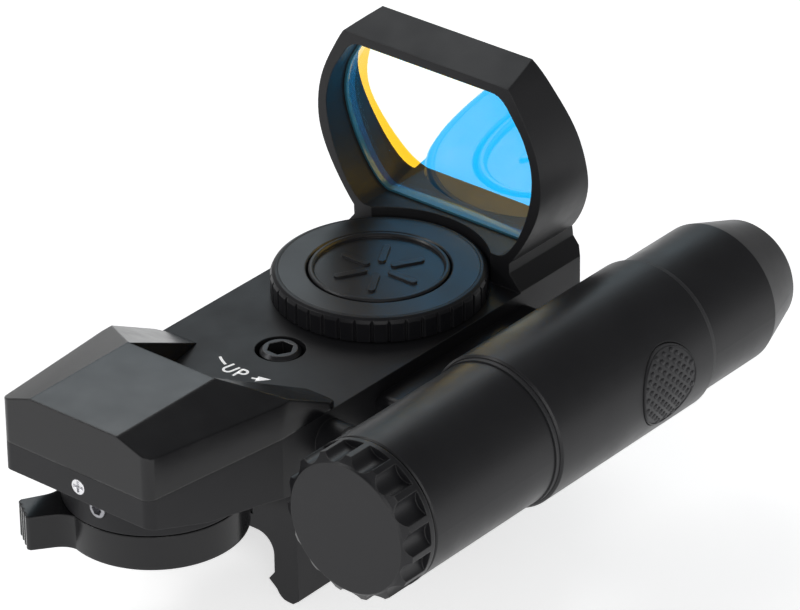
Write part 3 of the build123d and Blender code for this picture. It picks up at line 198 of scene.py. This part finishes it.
def coated(name, through, back, haze=0.0):
    """Thin-film coating: one set of colours goes through, the rest is mirrored."""
    m = bpy.data.materials.new(name)
    m.use_nodes = True
    nt = m.node_tree
    nt.nodes.clear()
    out = nt.nodes.new("ShaderNodeOutputMaterial")
    co = add(nt, "ShaderNodeTexCoord").outputs["Object"]
    slow = noise(nt, co, 60, 2)
    tr = add(nt, "ShaderNodeBsdfTransparent")
    gl = add(nt, "ShaderNodeBsdfGlossy", distribution="GGX")
    gl.inputs["Roughness"].default_value = haze
    for node, col in ((tr, through), (gl, back)):
        mix = add(nt, "ShaderNodeMix", data_type="RGBA")
        mix.inputs["A"].default_value = tuple(max(0, c - 0.012) for c in col) + (1,)
        mix.inputs["B"].default_value = tuple(min(1, c + 0.012) for c in col) + (1,)
        nt.links.new(slow, mix.inputs["Factor"])
        nt.links.new(mix.outputs["Result"], node.inputs["Color"])
    both = add(nt, "ShaderNodeAddShader")
    nt.links.new(tr.outputs[0], both.inputs[0])
    nt.links.new(gl.outputs[0], both.inputs[1])
    nt.links.new(both.outputs[0], out.inputs[0])
    return m


COAT = coated("thin_film_coating", (0.015, 0.48, 0.95), (0.965, 0.58, 0.02))
UNCOATED = coated("uncoated_glass", (0.96, 0.97, 0.975), (0.015, 0.015, 0.015))
BEAD = surface("lens_cement", (0.03, 0.12, 0.17), 0.18, spec=0.6, grain=2500, grain_amt=0.2, edge_r=0.00005)

# ------------------------------------------------------------------ carried-over nodes
finishes = {
    "mount_base": BLACK, "clamp_jaw": BLACK, "main_housing": BLACK, "cradle": BLACK, "mirror_holder": BLACK,
    "laser_body": TUBE, "laser_rear_tube": TUBE, "laser_head": TUBE, "laser_cap": TUBE,
    "rear_cover": COVER, "selector_wheel": COVER, "brightness_dial": DIAL, "dial_face": FACE, "battery_cap": FACE,
    "lens_bead": BEAD, "clamp_bolt_front": STEEL_DARK, "clamp_bolt_rear": STEEL_DARK, "clamp_nuts": STEEL_DARK,
    "jaw_guide_pins": STEEL_DARK, "elevation_screw": STEEL_DARK, "collar_set_screw": ALLOY,
    "laser_mount_screws": STEEL_DARK, "tilt_pin": STEEL_DARK, "yaw_pin": STEEL_DARK, "elevation_nut": STEEL_DARK,
    "beam_adjusters": STEEL_DARK, "selector_screw": STEEL_DARK, "selector_spindle": STEEL_DARK,
    "windage_screw": ALLOY, "cover_screw": STEEL, "return_spring": STEEL, "cell_spring": STEEL, "dial_clip": STEEL,
    "reticle_clip": STEEL, "detent_ball": STEEL, "coin_cell": STEEL, "cell_contact": BRASS, "cap_contact": BRASS,
    "dial_wiper": BRASS, "laser_module": BRASS, "led_board": BOARD, "contact_board": BOARD, "driver_board": BOARD,
    "tact_switch": MOULD, "led_lamp": LAMP, "cap_seal": RUBBER, "laser_cap_seal": RUBBER, "tube_seal_rings": RUBBER,
    "laser_button": RUBBER, "laser_cell": CELLWRAP, "emitter_window": CLEAR, "nose_window": CLEAR,
    "collimator_lens": CLEAR, "reticle_disc": SMOKE, "fold_mirror": MIRROR, "reflex_lens": UNCOATED,
}
for name, mat in finishes.items():
    o = nodes[name]
    o.data.materials.clear()
    o.data.materials.append(mat)


def piece(name, bm, mat, body, smooth=True, angle=35):
    me = bpy.data.meshes.new(name)
    bm.normal_update()
    bm.to_mesh(me)
    bm.free()
    o = bpy.data.objects.new(name, me)
    scene.collection.objects.link(o)
    me.materials.append(mat)
    if smooth:
        for p in me.polygons:
            p.use_smooth = True
        me.set_sharp_from_angle(angle=math.radians(angle))
    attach(o, body)
    return o


# ------------------------------------------------------------------ rounded edges as geometry
def rounded(node, name, mat, body, width, segs=3, least=14, pick=None):
    """A copy of a CAD node with its sharp outer edges rounded; it stands for the node."""
    bm = bmesh.new()
    bm.from_mesh(nodes[node].data)
    bmesh.ops.remove_doubles(bm, verts=bm.verts, dist=2e-6)
    bmesh.ops.dissolve_limit(bm, angle_limit=math.radians(0.6), verts=bm.verts, edges=bm.edges, delimit=set())
    bm.normal_update()
    edges = [e for e in bm.edges if len(e.link_faces) == 2 and e.is_convex
             and e.calc_face_angle(0) > math.radians(least) and (pick is None or pick(e))]
    bmesh.ops.bevel(bm, geom=edges, offset=width, offset_type="OFFSET", segments=segs, profile=0.5,
                    affect="EDGES", clamp_overlap=True, loop_slide=True)
    o = piece(name, bm, mat, body, angle=32)
    wn_mod = o.modifiers.new("weighted", "WEIGHTED_NORMAL")
    wn_mod.keep_sharp = True
    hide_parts(node)
    return o


def cover_pick(e):
    m = (e.verts[0].co + e.verts[1].co) / 2
    return m.z > 0.0197 and e.calc_length() > 0.0001 and not (abs(m.x) < 0.0068 and m.z < 0.0255)


rounded("rear_cover", "rear_cover_shell", COVER, "sight", 0.00055, pick=cover_pick)

# ------------------------------------------------------------------ lens: fine, smooth spherical shell
HOOD_WIN = [(11.9, 50.2), (13.7, 49.6), (15.5, 47.3), (17.0, 45.0), (18.0, 42.6), (18.6, 40.3),
            (18.75, 37.8), (18.5, 35.5), (17.9, 32.9), (17.0, 30.3), (16.0, 28.1), (14.9, 26.3),
            (13.7, 24.9), (12.4, 24.15)]
LENS_R, LENS_T, TILT = 130.0, 2.2, math.radians(7.4)
LC = Vector((0, 31.4 - LENS_R * math.cos(TILT), 37.3 - LENS_R * math.sin(TILT)))


def inset(points, d):
    out = []
    for i, (x, z) in enumerate(points):
        if i == 0:
            out.append((x - 0.55 * d, z - d))
        elif i == len(points) - 1:
            out.append((x - 0.35 * d, z + d))
        else:
            dx, dz = points[i + 1][0] - points[i - 1][0], points[i + 1][1] - points[i - 1][1]
            n = math.hypot(dx, dz)
            out.append((x + d * dz / n, z - d * dx / n))
    return out


def smooth_path(pts, per=6):
    """Catmull-Rom through the points."""
    res = []
    for i in range(len(pts) - 1):
        p0, p1, p2, p3 = pts[max(i - 1, 0)], pts[i], pts[i + 1], pts[min(i + 2, len(pts) - 1)]
        for k in range(per):
            t = k / per
            res.append(tuple(0.5 * (2 * p1[a] + (p2[a] - p0[a]) * t + (2 * p0[a] - 5 * p1[a] + 4 * p2[a] - p3[a]) * t * t
                                    + (3 * p1[a] - p0[a] - 3 * p2[a] + p3[a]) * t ** 3) for a in (0, 1)))
    res.append(pts[-1])
    return res


half = smooth_path(inset(HOOD_WIN, 0.45))
top = [(x, half[0][1]) for x in [half[0][0] * (1 - 2 * (k + 1) / 25) for k in range(24)]]
left = [(-x, z) for x, z in reversed(half)]
bottom = [(x, half[-1][1]) for x in [-half[-1][0] * (1 - 2 * (k + 1) / 25) for k in range(24)]]
# clockwise seen from the rear: right side down, bottom to the left, left side up, top to the right
outline = half + [(-x, z) for x, z in bottom] + left + [(-x, z) for x, z in top]


def lens_y(x, z, r):
    return LC.y + math.sqrt(r * r - x * x - (z - LC.z) ** 2)


bm = bmesh.new()
RINGS = 22
rows = {}
for side, r in (("rear", LENS_R), ("front", LENS_R + LENS_T)):
    centre = bm.verts.new((0, lens_y(0, 37.3, r) * MM, 37.3 * MM))
    grid = []
    for k in range(1, RINGS + 1):
        f = k / RINGS
        grid.append([bm.verts.new((x * f * MM, lens_y(x * f, 37.3 + (z - 37.3) * f, r) * MM, (37.3 + (z - 37.3) * f) * MM)) for x, z in outline])
    rows[side] = (centre, grid)
n = len(outline)
for side, flip in (("rear", False), ("front", True)):
    centre, grid = rows[side]
    for i in range(n):
        j = (i + 1) % n
        f = [centre, grid[0][i], grid[0][j]]
        fc = bm.faces.new(f if flip else f[::-1])
        fc.material_index = 0 if side == "rear" else 1
        for k in range(RINGS - 1):
            q = [grid[k][i], grid[k + 1][i], grid[k + 1][j], grid[k][j]]
            fc = bm.faces.new(q if flip else q[::-1])
            fc.material_index = 0 if side == "rear" else 1
for i in range(n):
    j = (i + 1) % n
    q = [rows["rear"][1][-1][i], rows["rear"][1][-1][j], rows["front"][1][-1][j], rows["front"][1][-1][i]]
    bm.faces.new(q).material_index = 1
bmesh.ops.recalc_face_normals(bm, faces=bm.faces)
lens = piece("lens_optic", bm, COAT, "sight", angle=30)
lens.data.materials.append(UNCOATED)
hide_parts("reflex_lens")

# ------------------------------------------------------------------ direction marking round the elevation screw


def ribbon(bm, pts, width, z, thick=0.03):
    """Flat printed stroke along a path in row mm."""
    v = []
    for i, p in enumerate(pts):
        a, b = pts[max(i - 1, 0)], pts[min(i + 1, len(pts) - 1)]
        d = Vector((b[0] - a[0], b[1] - a[1])).normalized()
        nn = Vector((-d.y, d.x)) * width / 2
        v.append([bm.verts.new(((p[0] + s * nn.x) * MM, (p[1] + s * nn.y) * MM, (z + h) * MM)) for s, h in ((1, 0), (1, thick), (-1, thick), (-1, 0))])
    for a, b in zip(v, v[1:]):
        for k in range(4):
            bm.faces.new((a[k], b[k], b[(k + 1) % 4], a[(k + 1) % 4]))
    bm.faces.new(v[0])
    bm.faces.new(v[-1][::-1])


def arc_pts(c, r, a0, a1, n=14):
    return [(c[0] + r * math.cos(math.radians(a0 + (a1 - a0) * k / n)), c[1] + r * math.sin(math.radians(a0 + (a1 - a0) * k / n))) for k in range(n + 1)]


bm = bmesh.new()
DECK = 19.3 + 0.004
C = (0.0, -7.0)
R_ARC = 8.55
ribbon(bm, arc_pts(C, R_ARC, 233, 248.5), 0.38, DECK)
ribbon(bm, arc_pts(C, R_ARC + 0.25, 284, 291), 0.34, DECK)
# arrowhead
tip = arc_pts(C, R_ARC, 302.0, 302.0, 1)[0]
b1 = arc_pts(C, R_ARC + 0.95, 289.0, 289.0, 1)[0]
b2 = arc_pts(C, R_ARC - 0.45, 289.0, 289.0, 1)[0]
vs = [[bm.verts.new((p[0] * MM, p[1] * MM, (DECK + h) * MM)) for p in (tip, b1, b2)] for h in (0, 0.03)]
bm.faces.new(vs[0][::-1])
bm.faces.new(vs[1])
for k in range(3):
    bm.faces.new((vs[0][k], vs[0][(k + 1) % 3], vs[1][(k + 1) % 3], vs[1][k]))
# the two letters, stroke by stroke, upright along the arc
CAP_H = 2.2


def glyph(strokes, ang):
    """Strokes in letter units; the letter's foot is on the outside of the arc."""
    a = math.radians(ang)
    rad = Vector((math.cos(a), math.sin(a)))
    right = Vector((-rad.y, rad.x))
    for s in strokes:
        ribbon(bm, [tuple(Vector(C) + rad * (R_ARC + CAP_H / 2 - y * CAP_H) + right * x * CAP_H) for x, y in s], 0.36, DECK)


u_arc = [(-0.3 + 0.3 * (1 - math.cos(math.pi * k / 10)), 0.3 - 0.3 * math.sin(math.pi * k / 10)) for k in range(11)]
glyph([[(-0.3, 1.0)] + u_arc + [(0.3, 1.0)]], 257.5)
p_bowl = [(-0.25 + 0.27 + 0.25 * math.sin(math.pi * k / 10), 0.74 + 0.25 * math.cos(math.pi * k / 10)) for k in range(11)]
glyph([[(-0.25, 0.0), (-0.25, 1.0)], [(-0.25, 0.99)] + p_bowl + [(-0.25, 0.49)]], 271.5)
bmesh.ops.recalc_face_normals(bm, faces=bm.faces)
piece("direction_mark", bm, WHITE, "sight", smooth=False)

# ------------------------------------------------------------------ raised dots of the push button
bm = bmesh.new()
LX, LZ, BR = 37.77, 19.41, 11.47
BY, BZ = 17.65, 19.81


def on_tube(y, s, r):
    """y along the tube, s round it from the middle of the button."""
    a = (s + (BZ - LZ)) / BR
    return Vector((LX + r * math.cos(a), y, LZ + r * math.sin(a)))


pitch, R_BUT = 1.16, 5.35
for i in range(-8, 9):
    for j in range(-8, 9):
        y = (i + j) * pitch / math.sqrt(2)
        s = (i - j) * pitch / math.sqrt(2)
        if math.hypot(y, s) > R_BUT:
            continue
        c = on_tube(BY + y, s, BR)
        a = (s + (BZ - LZ)) / BR
        nrm = Vector((math.cos(a), 0, math.sin(a)))
        tan = Vector((-math.sin(a), 0, math.cos(a)))
        rings = []
        for k in range(4):
            ph = math.radians(90 * k / 4)
            rr, hh = 0.43 * math.cos(ph), 0.30 * math.sin(ph) - 0.05
            rings.append([bm.verts.new((c + Vector((0, rr * math.cos(t), 0)) + tan * rr * math.sin(t) + nrm * hh) * MM)
                          for t in (2 * math.pi * q / 12 for q in range(12))])
        crown = bm.verts.new((c + nrm * 0.25) * MM)
        for ra, rb in zip(rings, rings[1:]):
            for q in range(12):
                bm.faces.new((ra[q], ra[(q + 1) % 12], rb[(q + 1) % 12], rb[q]))
        for q in range(12):
            bm.faces.new((rings[-1][q], rings[-1][(q + 1) % 12], crown))
        bm.faces.new(rings[0][::-1])
# thin raised rim
prev = None
first = None
for k in range(73):
    t = 2 * math.pi * k / 72
    ring = []
    for rr, h in ((5.62, -0.08), (5.62, 0.08), (5.7, 0.16), (5.78, 0.08), (5.78, -0.08)):
        y, s = rr * math.cos(t), rr * math.sin(t)
        ring.append(on_tube(BY + y, s, BR + h) * MM)
    if k == 72:
        cur = first
    else:
        cur = [bm.verts.new(p) for p in ring]
        first = first or cur
    if prev:
        for q in range(5):
            bm.faces.new((prev[q], cur[q], cur[(q + 1) % 5], prev[(q + 1) % 5]))
    prev = cur
bmesh.ops.recalc_face_normals(bm, faces=bm.faces)
piece("button_dots", bm, RUBBER, "laser_button", angle=60)

# ------------------------------------------------------------------ floor, light, camera
floor_z = cad_lo.z - 0.00002
bm = bmesh.new()
bmesh.ops.create_grid(bm, x_segments=2, y_segments=2, size=6)
for v in bm.verts:
    v.co.z = floor_z
me = bpy.data.meshes.new("floor")
bm.to_mesh(me)
bm.free()
floor = bpy.data.objects.new("floor", me)
scene.collection.objects.link(floor)
m, nt, b = new_mat("pale_floor")
co = add(nt, "ShaderNodeTexCoord").outputs["Object"]
mix = add(nt, "ShaderNodeMix", data_type="RGBA")
mix.inputs["A"].default_value = (0.93, 0.93, 0.93, 1)
mix.inputs["B"].default_value = (0.96, 0.96, 0.96, 1)
nt.links.new(noise(nt, co, 3, 2), mix.inputs["Factor"])
nt.links.new(mix.outputs["Result"], b.inputs["Base Color"])
b.inputs["Roughness"].default_value = 0.9
b.inputs["Specular IOR Level"].default_value = 0.0
b.inputs["Emission Color"].default_value = (1, 1, 1, 1)
b.inputs["Emission Strength"].default_value = 0.64
me.materials.append(m)

world = bpy.data.worlds.new("studio")
scene.world = world
world.use_nodes = True
wn = world.node_tree
bg = wn.nodes["Background"]
bg.inputs["Strength"].default_value = 1.0
sky = wn.nodes.new("ShaderNodeTexCoord")
sep = wn.nodes.new("ShaderNodeSeparateXYZ")
ramp = wn.nodes.new("ShaderNodeValToRGB")
ramp.color_ramp.elements[0].position = 0.08
ramp.color_ramp.elements[0].color = (0.6, 0.6, 0.6, 1)
ramp.color_ramp.elements[1].position = 0.30
ramp.color_ramp.elements[1].color = (0.34, 0.34, 0.34, 1)
third = ramp.color_ramp.elements.new(0.75)
third.color = (0.19, 0.19, 0.195, 1)
wn.links.new(sky.outputs["Generated"], sep.inputs[0])
wn.links.new(sep.outputs["Z"], ramp.inputs["Fac"])
wn.links.new(ramp.outputs["Color"], bg.inputs["Color"])


def softbox(name, pos, target, size, power, size_y=None, tint=(1, 1, 1)):
    d = bpy.data.lights.new(name, "AREA")
    d.energy = power
    d.shape = "RECTANGLE"
    d.size = size
    d.size_y = size_y or size
    o = bpy.data.objects.new(name, d)
    scene.collection.objects.link(o)
    o.location = pos
    o.rotation_euler = (Vector(target) - Vector(pos)).to_track_quat("-Z", "Y").to_euler()
    d.color = tint
    o.visible_camera = False
    return o


softbox("overhead", (-0.50, 0.37, 0.65), (0.0, 0.0, 0.03), 0.5, 1.5)
softbox("front_left", (-0.56, 0.70, 0.42), (0.0, 0.0, 0.03), 0.5, 0.28, 0.3, tint=(0.4, 0.78, 1.0))
softbox("rear_left", (-0.55, -0.44, 0.62), (0.0, -0.03, 0.02), 0.34, 1.3, 0.16)
softbox("rear_right", (0.65, -0.5, 0.05), (0.03, -0.03, 0.01), 0.3, 0.7, 0.2)
softbox("rear_low", (0.60, -0.72, 0.42), (0.0, -0.03, 0.02), 0.75, 2.3, 0.45)

cam_d = bpy.data.cameras.new("camera")
cam_d.sensor_width = 36
cam_d.lens = 237.57
cam_d.clip_start = 0.01
cam_d.clip_end = 20
cam = bpy.data.objects.new("camera", cam_d)
scene.collection.objects.link(cam)
az, el, roll = math.radians(39.9771), math.radians(29.3255), math.radians(-0.7241)
back = Vector((math.sin(az) * math.cos(el), -math.cos(az) * math.cos(el), math.sin(el)))
right = Vector((math.cos(az), math.sin(az), 0))
up = back.cross(right)
R = right * math.cos(roll) + up * math.sin(roll)
U = -right * math.sin(roll) + up * math.cos(roll)
rot = Matrix((R, U, back)).transposed().to_4x4()
cam.matrix_world = Matrix.Translation(Vector((421.68, -483.96, 383.59)) * MM) @ rot
scene.camera = cam
